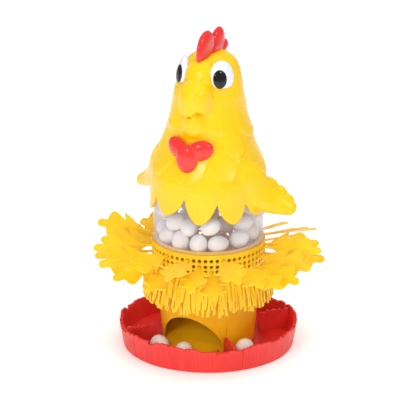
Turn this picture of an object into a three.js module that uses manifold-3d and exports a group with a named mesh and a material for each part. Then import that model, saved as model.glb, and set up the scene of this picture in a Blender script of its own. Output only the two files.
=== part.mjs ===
// A table-top egg-drop game shaped like a hen. A round fenced tray carries a tower that turns:
// an orange chute with an arch, a straw skirt, a perforated collar and a clear egg drum, under a
// glossy hen cover. Feather sticks slide in and out of the collar and hold the eggs up.
// Millimetres, +Z up, origin at the middle of the tray's underside. The hen and the arch face -Y.
import * as THREE from 'three';
import { mergeVertices } from 'three/addons/utils/BufferGeometryUtils.js';
import Module from 'manifold-3d';

const wasm = await Module();
wasm.setup();

// ---------- driving dimensions ----------
const GAP = 0.3;                    // clearance between pieces that touch

const TRAY_R = 100;                 // outer radius of the tray at the table
const TRAY_RIM_R = 105;             // outer radius at the top of the fence
const TRAY_WALL = 3;
const TRAY_FLOOR = 5;               // upper side of the floor
const TRAY_SKIN = 2.4;              // thickness of the floor over the hollow underside
const FENCE_HEIGHT = 30;
const PLANKS = 36;
const DIVIDER_HEIGHT = 29;
const DIVIDER_THICK = 4;
const DIVIDER_R = 63;               // inner end of each divider
const BOSS_R = 8;                   // pivot boss in the middle of the tray
const BOSS_TOP = 10.2;

const CHUTE_BOTTOM = TRAY_FLOOR + 0.6;
const CHUTE_TOP = 105;
const CHUTE_R_LOW = 54;
const CHUTE_R_HIGH = 61.5;
const CHUTE_WALL = 2.6;
const ARCH_HALF_WIDTH = 39.5;
const ARCH_TOP = 48.5;
const ARCH_FOOT = 5;
const GROOVE_ANGLES = [50, 82.5, 115, 147.5, 180, 212.5, 245, 277.5, 310];
const HUB_TOP = 8.8;                // upper side of the chute's floor web

const COLLAR_R = 66.5;
const COLLAR_WALL = 4.5;
const COLLAR_TOP = 131;
const DRUM_R = 65;
const DRUM_WALL = 2;
const DRUM_TOP = 204;

const SKIRT_TOP_R = 67.5;
const SKIRT_HEM_R = 78;
const SKIRT_HEM = 57;
const STRAWS = 30;

const FEATHERS = 30;
const STEM_R = 1.6;
const STEM_INNER_END = 17;          // distance from the tower's axis to a stem's inner end
const HOLE_R = 2.2;
const FEATHER_THICK = 1.5;
const FEATHER_ROWS = [              // the row of holes that each feather sits in
  0, 1, 2, 0, 1, 2, 2, 1, 0, 2, 1, 0, 2, 1, 0, 1, 2, 1, 2, 0, 1, 2, 0, 1, 2, 0, 1, 2, 0, 2,
];
const FEATHER_ROLLS = [             // how far each blade is turned from flat, degrees
  4, 6, 8, 20, 22, 22, 50, 50, 50, 47, 45, -24, -22, -28, -34, -40, -46, -52, -56, -58, -58, -58, -58,
  -58, -58, -58, -58, -46, -30, -14,
];
const DRAWN_FEATHER = 22;           // one feather is already drawn further out than the others
const DRAWN_OUT = 16;
const BLADE_ROOT = 72;              // distance from the tower's axis to the start of a blade
const BLADE_LENGTH = 62;
const STEM_ROWS = [124, 117, 111];  // heights of the three rows of holes
const STEM_DROOP = [0, 3, 6];       // how far each row slopes down outwards, degrees

const EGG_LENGTH = 25;
const EGG_WIDTH = 20.6;

const COVER_WALL = 2.2;
const COVER_TIPS = 10;
const WING_REACH = 106.5;
const WING_TIP_Z = 177;
const WING_ANGLE = 100;

// ---------- materials ----------
function plastic(colour, roughness) {
  return new THREE.MeshStandardMaterial({ color: colour, roughness, metalness: 0 });
}
const RED = plastic(0xe8332c, 0.45);
const ORANGE = plastic(0xf2a100, 0.4);
const STRAW_YELLOW = plastic(0xf8c414, 0.5);
const FEATHER_YELLOW = plastic(0xfccf08, 0.4);
const HEN_YELLOW = plastic(0xffd800, 0.22);
const COMB_RED = plastic(0xe5352f, 0.25);
const EGG_WHITE = plastic(0xf6f1ec, 0.35);
const EYE_WHITE = plastic(0xf4f4f6, 0.2);
const PUPIL_BLACK = plastic(0x08080a, 0.15);
const CLEAR = new THREE.MeshStandardMaterial({
  color: 0xe6e2f0, roughness: 0.1, metalness: 0, transparent: true, opacity: 0.3,
});
const STEEL = new THREE.MeshStandardMaterial({ color: 0xb8babd, roughness: 0.35, metalness: 1 });

// ---------- solids ----------
function toSolid(geometry) {
  const plain = geometry.clone();
  plain.deleteAttribute('normal');
  plain.deleteAttribute('uv');
  const merged = mergeVertices(plain, 1e-4);
  return new wasm.Manifold(new wasm.Mesh({
    numProp: 3,
    vertProperties: new Float32Array(merged.attributes.position.array),
    triVerts: new Uint32Array(merged.index.array),
  }));
}

function toGeometry(solid) {
  const mesh = solid.getMesh();
  const geometry = new THREE.BufferGeometry();
  geometry.setAttribute('position', new THREE.BufferAttribute(mesh.vertProperties, 3));
  geometry.setIndex(new THREE.BufferAttribute(mesh.triVerts, 1));
  geometry.computeVertexNormals();
  return geometry;
}

function join(solids) {
  return solids.reduce((whole, piece) => whole.add(piece));
}

function cut(solid, tools) {
  return tools.reduce((rest, tool) => rest.subtract(tool), solid);
}

// A profile of [radius, height] pairs turned about the Z axis.
function turned(profile, segments) {
  const points = profile.map(([radius, height]) => new THREE.Vector2(radius, height));
  return toSolid(new THREE.LatheGeometry(points, segments).rotateX(Math.PI / 2));
}

function ball(radii, centre, segments = 16, rings = 10) {
  const sphere = new THREE.SphereGeometry(1, segments, rings);
  sphere.rotateX(Math.PI / 2).scale(...radii).translate(...centre);
  return toSolid(sphere);
}

// An ellipsoid that faces a compass direction: radii are across, outwards and up.
function lens(radii, radius, heading, z, segments = 12, rings = 8) {
  const sphere = new THREE.SphereGeometry(1, segments, rings).rotateX(Math.PI / 2).scale(...radii);
  return toSolid(sphere.rotateZ(THREE.MathUtils.degToRad(heading)).translate(...polar(radius, heading, z)));
}

function box(size, centre, turn = 0) {
  const block = new THREE.BoxGeometry(...size).translate(...centre);
  return toSolid(block.rotateZ(THREE.MathUtils.degToRad(turn)));
}

// A compass direction seen from above: 0 is the front (-Y), 90 is +X.
function polar(radius, degrees, z) {
  const angle = THREE.MathUtils.degToRad(degrees);
  return [radius * Math.sin(angle), -radius * Math.cos(angle), z];
}

// A piece of a ring between two directions. Each level is [inner radius, outer radius, height].
function ringPiece(from, to, levels, steps = 1) {
  const vertices = [];
  const index = [];
  for (const [inner, outer, z] of levels) {
    for (let i = 0; i <= steps; i += 1) {
      const degrees = from + (to - from) * i / steps;
      vertices.push(...polar(inner, degrees, z), ...polar(outer, degrees, z));
    }
  }
  const at = (level, i, side) => (level * (steps + 1) + i) * 2 + side;
  const quad = (a, b, c, d) => index.push(a, b, c, a, c, d);
  const last = levels.length - 1;
  for (let k = 0; k < last; k += 1) {
    for (let i = 0; i < steps; i += 1) {
      quad(at(k, i, 1), at(k, i + 1, 1), at(k + 1, i + 1, 1), at(k + 1, i, 1));
      quad(at(k, i + 1, 0), at(k, i, 0), at(k + 1, i, 0), at(k + 1, i + 1, 0));
    }
    quad(at(k, 0, 0), at(k, 0, 1), at(k + 1, 0, 1), at(k + 1, 0, 0));
    quad(at(k, steps, 1), at(k, steps, 0), at(k + 1, steps, 0), at(k + 1, steps, 1));
  }
  for (let i = 0; i < steps; i += 1) {
    quad(at(last, i, 0), at(last, i, 1), at(last, i + 1, 1), at(last, i + 1, 0));
    quad(at(0, i + 1, 0), at(0, i + 1, 1), at(0, i, 1), at(0, i, 0));
  }
  const geometry = new THREE.BufferGeometry();
  geometry.setAttribute('position', new THREE.Float32BufferAttribute(vertices, 3));
  geometry.setIndex(index);
  return toSolid(geometry);
}

// A flat outline of [x, y] pairs pulled up along Z, made larger all round by grow.
function plate(outline, thickness, grow = 0) {
  const shape = new THREE.Shape(outline.map(([x, y]) => new THREE.Vector2(x, y)));
  const geometry = new THREE.ExtrudeGeometry(shape, {
    depth: thickness,
    steps: 1,
    bevelEnabled: grow > 0,
    bevelSegments: 1,
    bevelSize: grow,
    bevelThickness: grow,
  });
  return geometry.translate(0, 0, -thickness / 2);
}

// Repeatable small variation between -1 and 1 for piece number n.
function vary(n, salt) {
  const wave = Math.sin(n * 12.9898 + salt * 78.233) * 43758.5453;
  return (wave - Math.floor(wave)) * 2 - 1;
}

// ---------- the model ----------
const model = new THREE.Group();

function add(name, solid, material) {
  const mesh = new THREE.Mesh(toGeometry(solid), material);
  mesh.name = name;
  model.add(mesh);
  return mesh;
}

// Tray: floor with a hollow underside, a fence of planks and four dividers on the diagonals.
function makeTray() {
  const inner = TRAY_R - TRAY_WALL;
  const hubR = 24;
  const footWidth = 4;
  const low = TRAY_FLOOR - TRAY_SKIN;
  const floor = turned([
    [0, 0], [hubR, 0], [hubR, low], [inner - footWidth, low], [inner - footWidth, 0],
    [TRAY_R - 1, 0], [TRAY_R - 1, TRAY_FLOOR], [BOSS_R, TRAY_FLOOR], [BOSS_R, BOSS_TOP], [0, BOSS_TOP],
  ], PLANKS);
  const parts = [floor];
  const lean = (TRAY_RIM_R - TRAY_R) / FENCE_HEIGHT;
  for (let i = 0; i < PLANKS; i += 1) {
    const pitch = 360 / PLANKS;
    const top = FENCE_HEIGHT - 1.2 + 1.6 * vary(i, 1);
    const proud = i % 2 === 0 ? 0 : -0.5;
    parts.push(ringPiece(i * pitch - 0.1, (i + 1) * pitch + 0.1, [
      [inner - 0.5, TRAY_R + proud, 0],
      [inner + lean * top, TRAY_R + lean * top + proud, top],
    ]));
  }
  for (let k = 0; k < 4; k += 1) {
    const length = TRAY_R - 1 - DIVIDER_R;
    const height = DIVIDER_HEIGHT - TRAY_FLOOR + 1;
    const middle = [DIVIDER_R + length / 2, 0, TRAY_FLOOR - 1 + height / 2];
    parts.push(box([length, DIVIDER_THICK, height], middle, 45 + 90 * k));
  }
  const screwHole = turned([[0, TRAY_SKIN], [1.9, TRAY_SKIN], [1.9, BOSS_TOP + 1], [0, BOSS_TOP + 1]], 12);
  return cut(join(parts), [screwHole]);
}

function makePivot() {
  const bore = 2.4;
  const base = BOSS_TOP + GAP;
  const thick = 1.5;
  const washer = turned([[bore, base], [12, base], [12, base + thick], [bore, base + thick],
    [bore, base]], 20);
  const under = base + thick + GAP;
  const shank = 1.6;
  const screw = turned([[0, TRAY_SKIN + 1], [shank, TRAY_SKIN + 1], [shank, under], [4.4, under],
    [4.4, under + 1.2], [2.4, under + 2.6], [0, under + 2.8]], 12);
  add('pivot_washer', washer, STEEL);
  add('pivot_screw', screw, STEEL);
}

function chuteRadius(z) {
  return CHUTE_R_LOW + (CHUTE_R_HIGH - CHUTE_R_LOW) * (z - CHUTE_BOTTOM) / (CHUTE_TOP - CHUTE_BOTTOM);
}

// A half ellipse pushed through the front wall of the column, above the hub's floor.
function archTool() {
  const steps = 16;
  const outline = [];
  for (let i = 0; i <= steps; i += 1) {
    const angle = Math.PI * i / steps;
    outline.push([ARCH_HALF_WIDTH * Math.cos(angle),
      ARCH_FOOT + (ARCH_TOP - ARCH_FOOT) * Math.sin(angle)]);
  }
  outline.push([-ARCH_HALF_WIDTH, HUB_TOP], [ARCH_HALF_WIDTH, HUB_TOP]);
  const aboveHub = outline.filter(([, z]) => z >= HUB_TOP);
  const depth = 50;
  const innerEnd = 20;
  return toSolid(plate(aboveHub, depth).rotateX(Math.PI / 2).translate(0, -innerEnd - depth / 2, 0));
}

// Chute: a tapered column with plank grooves and an arch, closed below by a web on the boss.
function makeChute() {
  const lowR = chuteRadius(CHUTE_BOTTOM);
  const column = turned([
    [BOSS_R + 0.6, CHUTE_BOTTOM], [lowR, CHUTE_BOTTOM], [CHUTE_R_HIGH, CHUTE_TOP],
    [CHUTE_R_HIGH - CHUTE_WALL, CHUTE_TOP], [lowR - CHUTE_WALL, HUB_TOP], [BOSS_R + 0.6, HUB_TOP],
    [BOSS_R + 0.6, CHUTE_BOTTOM],
  ], 40);
  const grooves = GROOVE_ANGLES.map((degrees) => {
    const half = 0.9;
    return ringPiece(degrees - half, degrees + half, [
      [lowR - 1, lowR + 3, CHUTE_BOTTOM - 1],
      [CHUTE_R_HIGH - 1, CHUTE_R_HIGH + 3, CHUTE_TOP + 1],
    ]);
  });
  return cut(column, [archTool(), ...grooves]);
}

// Ramp: a rounded slide inside the chute that sends every egg out through the arch.
function makeRamp() {
  const height = 60;
  const reach = CHUTE_R_LOW + 1;
  const lip = -59;
  const thick = 2.4;
  const slope = 0.3;
  const crownRadius = 85;
  const top = (x, y) => HUB_TOP + 2 + (y - lip) * slope - x * x / (2 * crownRadius);
  const vertices = [];
  const index = [];
  const columns = 8;
  const rows = 8;
  for (const drop of [0, thick]) {
    for (let j = 0; j <= rows; j += 1) {
      for (let i = 0; i <= columns; i += 1) {
        const x = -reach + 2 * reach * i / columns;
        const y = lip + (reach - lip) * j / rows;
        vertices.push(x, y, top(x, y) - drop);
      }
    }
  }
  const at = (layer, i, j) => (layer * (rows + 1) + j) * (columns + 1) + i;
  const quad = (a, b, c, d) => index.push(a, b, c, a, c, d);
  for (let j = 0; j < rows; j += 1) {
    for (let i = 0; i < columns; i += 1) {
      quad(at(0, i, j), at(0, i + 1, j), at(0, i + 1, j + 1), at(0, i, j + 1));
      quad(at(1, i, j + 1), at(1, i + 1, j + 1), at(1, i + 1, j), at(1, i, j));
    }
  }
  for (let i = 0; i < columns; i += 1) {
    quad(at(1, i, 0), at(1, i + 1, 0), at(0, i + 1, 0), at(0, i, 0));
    quad(at(1, i + 1, rows), at(1, i, rows), at(0, i, rows), at(0, i + 1, rows));
  }
  for (let j = 0; j < rows; j += 1) {
    quad(at(1, 0, j + 1), at(1, 0, j), at(0, 0, j), at(0, 0, j + 1));
    quad(at(1, columns, j), at(1, columns, j + 1), at(0, columns, j + 1), at(0, columns, j));
  }
  const geometry = new THREE.BufferGeometry();
  geometry.setAttribute('position', new THREE.Float32BufferAttribute(vertices, 3));
  geometry.setIndex(index);
  const slab = toSolid(geometry);
  const floor = HUB_TOP + GAP;
  const bore = turned([
    [0, floor], [chuteRadius(floor) - CHUTE_WALL - GAP, floor],
    [chuteRadius(height) - CHUTE_WALL - GAP, height], [0, height],
  ], 40);
  const tongueR = 60.5;
  const doorTop = 25;
  const doorHalf = 36;
  const doorDepth = 40;
  const tongue = turned([[0, floor], [tongueR, floor], [tongueR, doorTop], [0, doorTop]], 40);
  const doorway = [[-doorHalf, floor], [doorHalf, floor], [doorHalf, doorTop], [-doorHalf, doorTop]];
  const doorMiddle = 30 + doorDepth / 2;
  const door = toSolid(plate(doorway, doorDepth).rotateX(Math.PI / 2).translate(0, -doorMiddle, 0));
  return slab.intersect(bore.add(tongue.intersect(door)));
}

// Collar: the ring of holes that the feather stems slide through, with a lip inside the drum.
function makeCollar() {
  const inner = COLLAR_R - COLLAR_WALL;
  const bottom = CHUTE_TOP + GAP;
  const lipR = DRUM_R - DRUM_WALL - GAP;
  const ring = turned([
    [lipR - 4, bottom], [COLLAR_R, bottom], [COLLAR_R, COLLAR_TOP], [lipR, COLLAR_TOP],
    [lipR, COLLAR_TOP + 3], [lipR - 2, COLLAR_TOP + 3], [inner, COLLAR_TOP - 1], [inner, bottom + 3],
    [lipR - 4, bottom + 1], [lipR - 4, bottom],
  ], 36);
  const holes = stemPlaces().map((place) => {
    const drill = new THREE.CylinderGeometry(HOLE_R, HOLE_R, 24, 6).rotateZ(Math.PI / 2);
    drill.translate(inner + 2, 0, 0);
    drill.applyMatrix4(stemMatrix(place));
    return toSolid(drill);
  });
  return cut(ring, holes);
}

// Straw skirt: a flared shell with two layers of hanging straws of uneven length.
function makeSkirt() {
  const inner = CHUTE_R_HIGH + GAP + 0.2;
  const shoulder = 84;
  const shoulderR = SKIRT_HEM_R - 4;
  const shell = turned([
    [inner, shoulder - 2], [shoulderR - 2.4, shoulder - 8], [shoulderR, shoulder - 8],
    [SKIRT_TOP_R, CHUTE_TOP - 0.5], [inner, CHUTE_TOP - 0.5], [inner, shoulder - 2],
  ], STRAWS);
  const parts = [shell];
  const pitch = 360 / STRAWS;
  for (let layer = 0; layer < 2; layer += 1) {
    for (let i = 0; i < STRAWS; i += 1) {
      const n = i + layer * STRAWS;
      const middle = (i + layer / 2) * pitch;
      const half = pitch * (0.36 + 0.05 * vary(n, 4));
      const bottom = SKIRT_HEM + layer * 8 + 2.5 * (1 + vary(n, 5));
      const out = layer * 1.9;
      const start = shoulder - 4 + layer * 6;
      const startR = shoulderR - 3 + out - layer * 1.2;
      const endR = SKIRT_HEM_R - 3.5 + out + 0.8 * vary(n, 6);
      parts.push(ringPiece(middle - half, middle + half, [
        [endR - 2.4, endR, bottom],
        [startR - 2.4, startR, start],
      ]));
    }
  }
  return join(parts);
}

function makeDrum() {
  const inner = DRUM_R - DRUM_WALL;
  const bottom = COLLAR_TOP + GAP;
  return turned([[inner, bottom], [DRUM_R, bottom], [DRUM_R, DRUM_TOP], [inner, DRUM_TOP],
    [inner, bottom]], 36);
}

// Feathers: evenly spaced round the collar, each in its own row of holes, turn and depth.
function stemPlaces() {
  const places = [];
  for (let i = 0; i < FEATHERS; i += 1) {
    const row = FEATHER_ROWS[i];
    places.push({
      heading: (i + 0.5) * 360 / FEATHERS,
      height: STEM_ROWS[row],
      droop: STEM_DROOP[row],
      pulled: 3.2 * vary(i, 7) + (i === DRAWN_FEATHER ? DRAWN_OUT : 0),
      roll: FEATHER_ROLLS[i] + 4 * vary(i, 8),
    });
  }
  return places;
}

// The stem's line passes the collar's wall at its row's height and runs outwards along local +X.
function stemMatrix({ heading, height, droop }) {
  const radians = THREE.MathUtils.degToRad;
  const turn = new THREE.Euler(0, radians(droop), radians(heading - 90), 'ZYX');
  const matrix = new THREE.Matrix4().makeRotationFromEuler(turn);
  const rise = COLLAR_R * Math.tan(radians(droop));
  return matrix.premultiply(new THREE.Matrix4().makeTranslation(0, 0, height + rise));
}

function featherSolid(pulled) {
  const root = BLADE_ROOT + pulled;
  const side = [[0, 1.6], [7, 2.6], [14, 9], [21, 12.5], [29, 15.5], [25, 7], [33, 11.5], [40, 15],
    [48, 11], [52, 5], [58, 4.6]];
  const mirrored = side.map(([x, y]) => [x, -y]).reverse();
  const outline = [...side, [BLADE_LENGTH, 0], ...mirrored].map(([x, y]) => [root + x, y]);
  const blade = toSolid(plate(outline, FEATHER_THICK));
  const length = root + BLADE_LENGTH / 2 - STEM_INNER_END;
  const stem = new THREE.CylinderGeometry(STEM_R, STEM_R, length, 6).rotateZ(Math.PI / 2);
  stem.translate(STEM_INNER_END + length / 2, 0, 0);
  return blade.add(toSolid(stem));
}

function makeFeathers() {
  stemPlaces().forEach((place, i) => {
    const mesh = add(`feather_${String(i + 1).padStart(2, '0')}`, featherSolid(place.pulled),
      FEATHER_YELLOW);
    const rolled = new THREE.Matrix4().makeRotationX(THREE.MathUtils.degToRad(place.roll));
    mesh.applyMatrix4(stemMatrix(place).multiply(rolled));
  });
}

// Eggs: blunt at one end, long axis along local Z.
function eggSolid() {
  const profile = [];
  const rings = 6;
  for (let i = 0; i <= rings; i += 1) {
    const t = Math.PI * i / rings;
    const radius = Math.sin(t) * (1 + 0.1 * Math.cos(t)) * EGG_WIDTH / 2;
    profile.push([i === 0 || i === rings ? 0 : radius, -Math.cos(t) * EGG_LENGTH / 2]);
  }
  return turned(profile, 8);
}

function addEgg(name, radius, heading, z, lean, leanTowards) {
  const mesh = add(name, eggSolid(), EGG_WHITE);
  mesh.position.set(...polar(radius, heading, z));
  const radians = THREE.MathUtils.degToRad;
  mesh.rotation.set(0, radians(lean), radians(leanTowards - 90), 'ZYX');
}

// Each row of drum eggs: distance from the axis, direction, height, lean and direction of lean.
function makeDrumEggs() {
  const eggs = [
    [51, -38, 140, 70, 60], [51, -12, 140, 15, 0], [51, 14, 140, 20, 40], [50, 40, 139, 80, 130],
    [50, 72, 141, 55, 100], [50, 104, 140, 85, 20], [51, 140, 140, 30, 60], [51, 172, 140, 80, 90],
    [51, 204, 140, 20, 150], [51, 234, 140, 75, 140], [51, 264, 140, 40, 10], [51, 294, 140, 85, 20],
  ];
  eggs.forEach(([radius, heading, z, lean, towards], i) => {
    addEgg(`drum_egg_${String(i + 1).padStart(2, '0')}`, radius, heading, z, lean, towards);
  });
}

function makeTrayEggs() {
  const rest = TRAY_FLOOR + EGG_WIDTH / 2 + 0.5;
  addEgg('tray_egg_left', 76, -21, rest, 90, 60);
  addEgg('tray_egg_middle', 78, 5, rest, 90, 10);
  addEgg('tray_egg_right', 74, 61, rest, 90, -10);
}

// Hen cover: a hollow moulded shell with ten feather tips, two wings and a beak.
function henOutline(inset) {
  const profile = [
    [69, 166], [69.5, 190], [68.8, 205], [64, 221], [59, 233], [55, 246], [52, 260], [48, 275],
    [44, 292], [40.5, 308], [37, 326], [32, 339], [25, 348], [13, 354],
  ];
  return [[0, 166], ...profile.map(([r, z]) => [r - inset, z - inset * 0.3]), [0, 355 - inset]];
}

function wing(sign) {
  const tip = polar(WING_REACH - 15, sign * WING_ANGLE, WING_TIP_Z + 4);
  const root = polar(42, sign * (WING_ANGLE - 8), WING_TIP_Z + 37);
  const from = new THREE.Vector3(...root);
  const to = new THREE.Vector3(...tip);
  const along = to.clone().sub(from);
  const shape = new THREE.SphereGeometry(1, 12, 8);
  shape.scale(23, 12, along.length() / 2 + 17);
  const lie = new THREE.Matrix4().lookAt(to, from, new THREE.Vector3(...polar(1, sign * WING_ANGLE, 1)));
  shape.applyMatrix4(lie);
  const middle = from.add(to).multiplyScalar(0.5);
  return toSolid(shape.translate(middle.x, middle.y, middle.z));
}

function combSolid(grow) {
  const outline = [[-24, 346], [-30, 352], [-28, 367], [-20, 378], [-10, 383], [0, 382], [8, 375],
    [11, 370], [18, 378], [30, 379], [37, 373], [38, 362], [46, 359], [47, 352], [42, 345], [10, 338]];
  const thick = 8;
  const geometry = plate(outline, thick, grow);
  return toSolid(geometry.rotateX(Math.PI / 2).rotateZ(Math.PI / 2));
}

function wattleSolid(grow) {
  const lobes = [[[13, 8, 10], [16, -54, 253]], [[13, 8, 10], [-16, -54, 253]], [[12, 8, 16], [0, -59, 244]]];
  return join(lobes.map(([radii, centre]) => ball(radii.map((r) => r + grow), centre, 10, 6)));
}

function eyeSolid(sign, grow) {
  return lens([14.5, 6, 18.5].map((r) => r + grow), 31.5, sign * 52, 334);
}

function pupilSolid(sign, grow) {
  return lens([7, 2.6, 9.5].map((r) => r + grow), 35.8, sign * 46, 332, 10, 6);
}

function makeHen() {
  const skin = turned(henOutline(0), 24);
  const hollow = turned([[0, 160], [69 - COVER_WALL, 160], ...henOutline(COVER_WALL).slice(1)], 24);
  const beak = [ball([20, 26, 21], [0, -33, 314], 12, 8), ball([15, 22, 14], [0, -33, 282], 10, 6)];
  const notches = [];
  const notch = [[-22, 160], [22, 160], [20.5, 167], [14, 178], [0, 196], [-14, 178], [-20.5, 167]];
  for (let i = 0; i < COVER_TIPS; i += 1) {
    const wedge = plate(notch, 50).rotateX(Math.PI / 2).translate(0, -75, 0);
    notches.push(toSolid(wedge.rotateZ(2 * Math.PI * i / COVER_TIPS)));
  }
  const sockets = [-1, 1].flatMap((sign) => [eyeSolid(sign, GAP), pupilSolid(sign, GAP)]);
  const body = cut(join([skin, ...beak]), [hollow, ...notches]);
  const wings = [wing(1), wing(-1)].map((solid) => cut(solid, [hollow]));
  const whole = join([body, ...wings]);
  add('hen_cover', cut(whole, [combSolid(GAP), wattleSolid(GAP), ...sockets]), HEN_YELLOW);
  add('comb', combSolid(0), COMB_RED);
  add('wattle', wattleSolid(0), COMB_RED);
  for (const [side, sign] of [['right', -1], ['left', 1]]) {
    add(`eye_${side}`, cut(eyeSolid(sign, 0), [pupilSolid(sign, GAP)]), EYE_WHITE);
    add(`pupil_${side}`, pupilSolid(sign, 0), PUPIL_BLACK);
  }
}

add('tray', makeTray(), RED);
makePivot();
add('chute', makeChute(), ORANGE);
add('egg_ramp', makeRamp(), ORANGE);
add('collar', makeCollar(), STRAW_YELLOW);
add('straw_skirt', makeSkirt(), STRAW_YELLOW);
add('egg_drum', makeDrum(), CLEAR);
makeFeathers();
makeDrumEggs();
makeTrayEggs();
makeHen();

export default model;
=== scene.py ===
"""A table-top egg-drop game shaped like a hen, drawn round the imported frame. Lengths are in millimetres."""
import math
import random

import bmesh
import bpy
import numpy as np
from mathutils import Matrix, Vector


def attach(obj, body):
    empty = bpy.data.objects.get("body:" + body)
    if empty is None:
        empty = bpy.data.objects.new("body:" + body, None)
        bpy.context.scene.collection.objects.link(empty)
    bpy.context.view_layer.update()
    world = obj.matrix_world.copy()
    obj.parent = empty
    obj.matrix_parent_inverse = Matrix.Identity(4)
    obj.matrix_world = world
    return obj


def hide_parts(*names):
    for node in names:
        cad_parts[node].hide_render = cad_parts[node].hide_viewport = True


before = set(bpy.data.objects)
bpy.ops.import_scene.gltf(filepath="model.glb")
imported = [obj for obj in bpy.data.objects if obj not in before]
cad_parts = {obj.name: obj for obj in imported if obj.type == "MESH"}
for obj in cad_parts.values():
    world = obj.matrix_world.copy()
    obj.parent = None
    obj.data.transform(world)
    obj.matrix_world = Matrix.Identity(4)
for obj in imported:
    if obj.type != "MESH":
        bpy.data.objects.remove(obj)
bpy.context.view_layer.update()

MM = 0.001

# ---------- driving dimensions, as in the frame ----------
TRAY_R = 100
TRAY_RIM_R = 105
TRAY_WALL = 3
TRAY_FLOOR = 5
TRAY_SKIN = 2.4
FENCE_HEIGHT = 30
PLANKS = 36
DIVIDER_R = 63
BOSS_R = 8
BOSS_TOP = 10.2
CHUTE_BOTTOM = 5.6
CHUTE_TOP = 105
CHUTE_R_LOW = 54
CHUTE_R_HIGH = 61.5
CHUTE_WALL = 2.6
HUB_TOP = 8.8
ARCH_HALF_WIDTH = 39.5
ARCH_FOOT = 5
ARCH_TOP = 48.5
GROOVE_PITCH = 32.5
GROOVES = [50 + GROOVE_PITCH * k for k in range(9)]  # headings of the joints between the chute's boards
COLLAR_R = 66.5
COLLAR_WALL = 4.5
COLLAR_TOP = 131
DRUM_R = 65
DRUM_WALL = 2
DRUM_TOP = 204
FEATHERS = sum(name.startswith("feather_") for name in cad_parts)
STEM_R = 1.6
STEM_ROWS = [124, 117, 111]
STEM_DROOP = [0, 3, 6]
EGG_LENGTH = 25
EGG_WIDTH = 20.6
COVER_WALL = 2.2
GAP = 0.3  # clearance between neighbouring parts
FENCE_LEAN = (TRAY_RIM_R - TRAY_R) / FENCE_HEIGHT


# ---------- meshes ----------
ROUND_END_SHARE = 0.98  # share of a quarter circle that a swept end turns through


def polar(radius, heading, z):
    """A point at a compass heading seen from above: 0 is the front (-Y), 90 is +X."""
    angle = math.radians(heading)
    return np.array([radius * math.sin(angle), -radius * math.cos(angle), z])


def away_from(headings, middle):
    """Signed degrees from a middle heading, between -180 and 180."""
    return (headings - middle + 180) % 360 - 180


def read_table(table, at):
    """The second column of a table at values of its first."""
    return np.interp(at, *zip(*table))


def smooth_step(x):
    """0 up to 0, 1 from 1 on, and a soft rise between."""
    x = np.clip(x, 0, 1)
    return x * x * (3 - 2 * x)


def add_object(name, data):
    obj = bpy.data.objects.new(name, data)
    bpy.context.scene.collection.objects.link(obj)
    return obj


def axes(heading, tilt=0.0, about="X"):
    """Directions tilted about one axis and then turned to a heading."""
    turn = Matrix.Rotation(math.radians(heading), 3, "Z") @ Matrix.Rotation(math.radians(tilt), 3, about)
    return np.array(turn)


def settle(obj):
    """Applies the object's modifiers to its mesh."""
    graph = bpy.context.evaluated_depsgraph_get()
    mesh = bpy.data.meshes.new_from_object(obj.evaluated_get(graph))
    obj.modifiers.clear()
    old, obj.data = obj.data, mesh
    bpy.data.meshes.remove(old)
    obj.data.name = obj.name


def shade(obj, sharp):
    """Smooth shading with hard edges where faces meet at more than sharp degrees."""
    obj.data.shade_smooth()
    obj.data.set_sharp_from_angle(angle=math.radians(sharp))


def solid(name, vertices, faces, sharp=35, bevel=0.0, segments=2):
    """A mesh from millimetre vertices, with doubles merged and faces turned outwards."""
    mesh = bpy.data.meshes.new(name)
    mesh.from_pydata((np.asarray(vertices, float) * MM).tolist(), [], [list(f) for f in faces])
    work = bmesh.new()
    work.from_mesh(mesh)
    bmesh.ops.remove_doubles(work, verts=work.verts, dist=1e-6)
    bmesh.ops.recalc_face_normals(work, faces=work.faces)
    work.to_mesh(mesh)
    work.free()
    obj = add_object(name, mesh)
    if bevel:
        round_edges(obj, bevel, segments)
    shade(obj, sharp)
    return obj


def round_edges(obj, width, segments=2, angle=35):
    """Rounds every edge where faces meet at more than angle degrees."""
    edges = obj.modifiers.new("Edges", "BEVEL")
    edges.width = width * MM
    edges.segments = segments
    edges.limit_method = "ANGLE"
    edges.angle_limit = math.radians(angle)
    edges.use_clamp_overlap = True
    settle(obj)


def grid_faces(rows, columns, start=0, wrap=True):
    """Quads over rows of points; wrap closes each row on itself."""
    faces = []
    for j in range(rows - 1):
        for i in range(columns if wrap else columns - 1):
            a, b = start + j * columns + i, start + j * columns + (i + 1) % columns
            faces.append((a, b, b + columns, a + columns))
    return faces


def turned(name, profile, segments=96, **options):
    """A closed profile of (radius, height) pairs turned about the Z axis."""
    headings = np.arange(segments) * 360 / segments
    rows = [[polar(max(r, 0.0), h, z) for h in headings] for r, z in profile]
    rows.append(rows[0])
    return solid(name, np.concatenate(rows), grid_faces(len(rows), segments), **options)


def cap(start, count, flip=False):
    ring = range(start, start + count)
    return tuple(ring[::-1] if flip else ring)


def loft(name, rings, **options):
    """A closed skin through rings that all have the same number of points."""
    count = len(rings[0])
    faces = grid_faces(len(rings), count)
    faces += [cap(0, count, True), cap((len(rings) - 1) * count, count)]
    return solid(name, np.concatenate(rings), faces, **options)


def join(name, pieces):
    """One object from several, each kept as its own shell."""
    work = bmesh.new()
    for piece in pieces:
        work.from_mesh(piece.data)
    mesh = bpy.data.meshes.new(name)
    work.to_mesh(mesh)
    work.free()
    for piece in pieces:
        bpy.data.objects.remove(piece)
    return add_object(name, mesh)


def carve(obj, tool):
    """Takes the tool's volume out of an object and removes the tool."""
    cut = obj.modifiers.new("Cut", "BOOLEAN")
    cut.operation = "DIFFERENCE"
    cut.object = tool
    cut.solver = "MANIFOLD"
    settle(obj)
    bpy.data.objects.remove(tool)


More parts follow.
